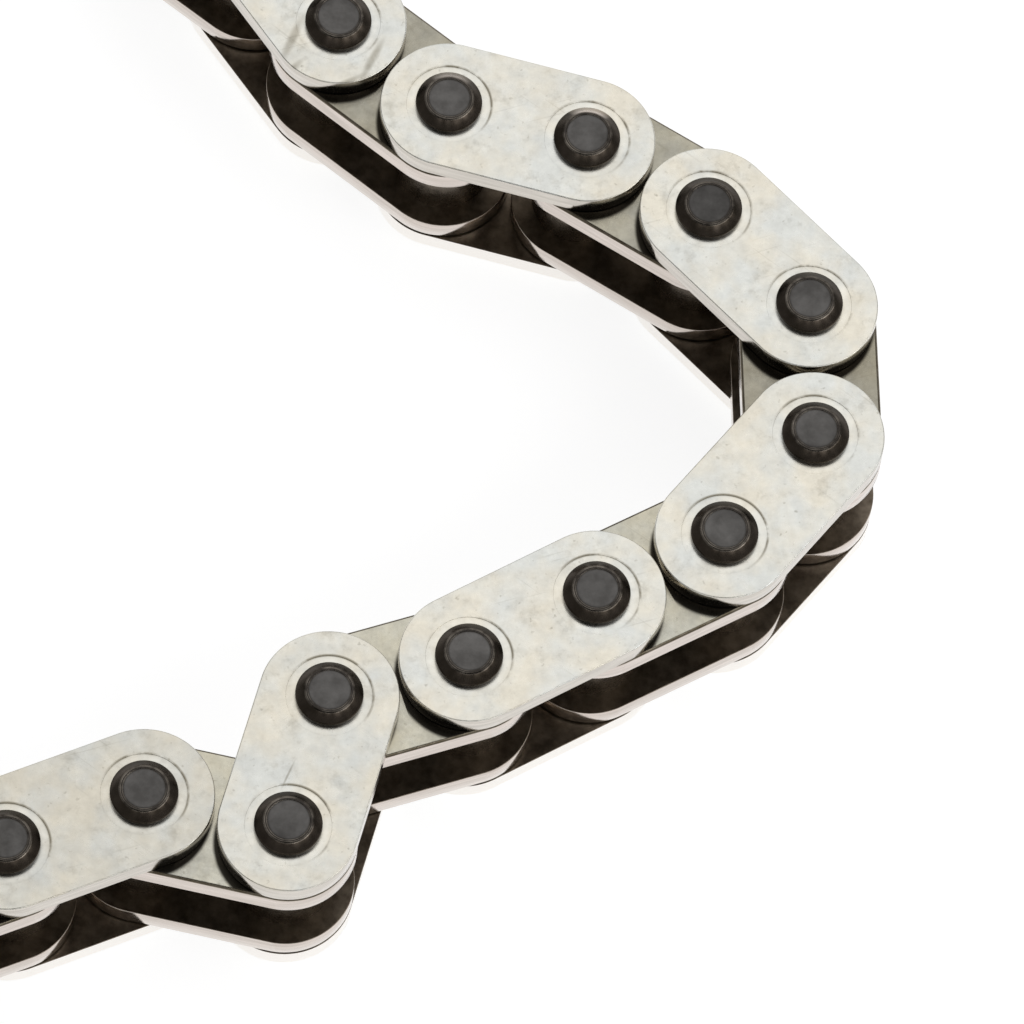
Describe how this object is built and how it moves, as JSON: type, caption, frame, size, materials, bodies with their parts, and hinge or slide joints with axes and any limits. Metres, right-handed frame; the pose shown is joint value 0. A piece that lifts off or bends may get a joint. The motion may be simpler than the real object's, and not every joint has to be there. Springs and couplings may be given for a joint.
{
  "type": "timing chain",
  "caption": "Run of simplex bush timing chain, laid flat in an S bend: obround plates in alternate inner and outer links on bevelled pins, free bush at each end.",
  "frame": {"origin": "on the ground plane that the chain lies on, under the centre of its bounding box", "axes": "+Z along the pins, up from the ground plane; the chain's links turn in the X-Y plane, and its long way is along Y"},
  "size_m": [0.0666, 0.0878, 0.0142],
  "materials": {
    "outer_plate_steel": "tumbled satin, pale warm grey",
    "inner_plate_steel": "tumbled satin, a little darker and yellower",
    "pin_steel": "dark, hardened and oiled",
    "bush_steel": "dark, hardened and oiled"
  },
  "bodies": {
    "inner_link_1": {"inner_link_1_upper_plate": "inner_plate_steel", "inner_link_1_lower_plate": "inner_plate_steel", "inner_link_1_bush_a": "bush_steel", "inner_link_1_bush_b": "bush_steel"},
    "outer_link_1": {"outer_link_1_upper_plate": "outer_plate_steel", "outer_link_1_lower_plate": "outer_plate_steel", "outer_link_1_pin_a": "pin_steel", "outer_link_1_pin_b": "pin_steel"},
    "inner_link_2": {"inner_link_2_upper_plate": "inner_plate_steel", "inner_link_2_lower_plate": "inner_plate_steel", "inner_link_2_bush_a": "bush_steel", "inner_link_2_bush_b": "bush_steel"},
    "outer_link_2": {"outer_link_2_upper_plate": "outer_plate_steel", "outer_link_2_lower_plate": "outer_plate_steel", "outer_link_2_pin_a": "pin_steel", "outer_link_2_pin_b": "pin_steel"},
    "inner_link_3": {"inner_link_3_upper_plate": "inner_plate_steel", "inner_link_3_lower_plate": "inner_plate_steel", "inner_link_3_bush_a": "bush_steel", "inner_link_3_bush_b": "bush_steel"},
    "outer_link_3": {"outer_link_3_upper_plate": "outer_plate_steel", "outer_link_3_lower_plate": "outer_plate_steel", "outer_link_3_pin_a": "pin_steel", "outer_link_3_pin_b": "pin_steel"},
    "inner_link_4": {"inner_link_4_upper_plate": "inner_plate_steel", "inner_link_4_lower_plate": "inner_plate_steel", "inner_link_4_bush_a": "bush_steel", "inner_link_4_bush_b": "bush_steel"},
    "outer_link_4": {"outer_link_4_upper_plate": "outer_plate_steel", "outer_link_4_lower_plate": "outer_plate_steel", "outer_link_4_pin_a": "pin_steel", "outer_link_4_pin_b": "pin_steel"},
    "inner_link_5": {"inner_link_5_upper_plate": "inner_plate_steel", "inner_link_5_lower_plate": "inner_plate_steel", "inner_link_5_bush_a": "bush_steel", "inner_link_5_bush_b": "bush_steel"},
    "outer_link_5": {"outer_link_5_upper_plate": "outer_plate_steel", "outer_link_5_lower_plate": "outer_plate_steel", "outer_link_5_pin_a": "pin_steel", "outer_link_5_pin_b": "pin_steel"},
    "inner_link_6": {"inner_link_6_upper_plate": "inner_plate_steel", "inner_link_6_lower_plate": "inner_plate_steel", "inner_link_6_bush_a": "bush_steel", "inner_link_6_bush_b": "bush_steel"},
    "outer_link_6": {"outer_link_6_upper_plate": "outer_plate_steel", "outer_link_6_lower_plate": "outer_plate_steel", "outer_link_6_pin_a": "pin_steel", "outer_link_6_pin_b": "pin_steel"},
    "inner_link_7": {"inner_link_7_upper_plate": "inner_plate_steel", "inner_link_7_lower_plate": "inner_plate_steel", "inner_link_7_bush_a": "bush_steel", "inner_link_7_bush_b": "bush_steel"},
    "outer_link_7": {"outer_link_7_upper_plate": "outer_plate_steel", "outer_link_7_lower_plate": "outer_plate_steel", "outer_link_7_pin_a": "pin_steel", "outer_link_7_pin_b": "pin_steel"},
    "inner_link_8": {"inner_link_8_upper_plate": "inner_plate_steel", "inner_link_8_lower_plate": "inner_plate_steel", "inner_link_8_bush_a": "bush_steel", "inner_link_8_bush_b": "bush_steel"}
  },
  "joints": [
    {"name": "hinge_1", "type": "hinge", "parent": "outer_link_1", "child": "inner_link_1", "pos_m": [-0.01215, 0.03427, 0.00709], "axis": [0, 0, -1], "range_deg": [-81, 115]},
    {"name": "hinge_2", "type": "hinge", "parent": "inner_link_2", "child": "outer_link_1", "pos_m": [-0.0059, 0.02708, 0.00709], "axis": [0, 0, 1], "range_deg": [-81.7, 114.3]},
    {"name": "hinge_3", "type": "hinge", "parent": "outer_link_2", "child": "inner_link_2", "pos_m": [0.00211, 0.02193, 0.00709], "axis": [0, 0, -1], "range_deg": [-122.1, 73.9]},
    {"name": "hinge_4", "type": "hinge", "parent": "inner_link_3", "child": "outer_link_2", "pos_m": [0.01153, 0.02051, 0.00709], "axis": [0, 0, 1], "range_deg": [-115.1, 80.9]},
    {"name": "hinge_5", "type": "hinge", "parent": "outer_link_3", "child": "inner_link_3", "pos_m": [0.02011, 0.01638, 0.00709], "axis": [0, 0, -1], "range_deg": [-75.8, 112.2]},
    {"name": "hinge_6", "type": "hinge", "parent": "inner_link_4", "child": "outer_link_3", "pos_m": [0.02742, 0.01027, 0.00709], "axis": [0, 0, 1], "range_deg": [-140.3, 55.7]},
    {"name": "hinge_7", "type": "hinge", "parent": "outer_link_4", "child": "inner_link_4", "pos_m": [0.02871, 0.00083, 0.00709], "axis": [0, 0, -1], "range_deg": [-56.7, 139.3]},
    {"name": "hinge_8", "type": "hinge", "parent": "outer_link_4", "child": "inner_link_5", "pos_m": [0.02345, -0.00711, 0.00709], "axis": [0, 0, -1], "range_deg": [-120.3, 67.7]},
    {"name": "hinge_9", "type": "hinge", "parent": "inner_link_5", "child": "outer_link_5", "pos_m": [0.01558, -0.01246, 0.00709], "axis": [0, 0, 1], "range_deg": [-78, 97]},
    {"name": "hinge_10", "type": "hinge", "parent": "outer_link_5", "child": "inner_link_6", "pos_m": [0.00779, -0.01795, 0.00709], "axis": [0, 0, -1], "range_deg": [-109.1, 86.9]},
    {"name": "hinge_11", "type": "hinge", "parent": "inner_link_6", "child": "outer_link_6", "pos_m": [-0.0009, -0.02184, 0.00709], "axis": [0, 0, 1], "range_deg": [-147.3, 41.7]},
    {"name": "hinge_12", "type": "hinge", "parent": "outer_link_6", "child": "inner_link_7", "pos_m": [-0.00249, -0.03124, 0.00709], "axis": [0, 0, -1], "range_deg": [-184.4, 11.6]},
    {"name": "hinge_13", "type": "hinge", "parent": "inner_link_7", "child": "outer_link_7", "pos_m": [-0.01196, -0.03024, 0.00709], "axis": [0, 0, 1], "range_deg": [-125.6, 63.4]},
    {"name": "hinge_14", "type": "hinge", "parent": "outer_link_7", "child": "inner_link_8", "pos_m": [-0.02033, -0.0348, 0.00709], "axis": [0, 0, -1], "range_deg": [-98.3, 97.7]}
  ]
}
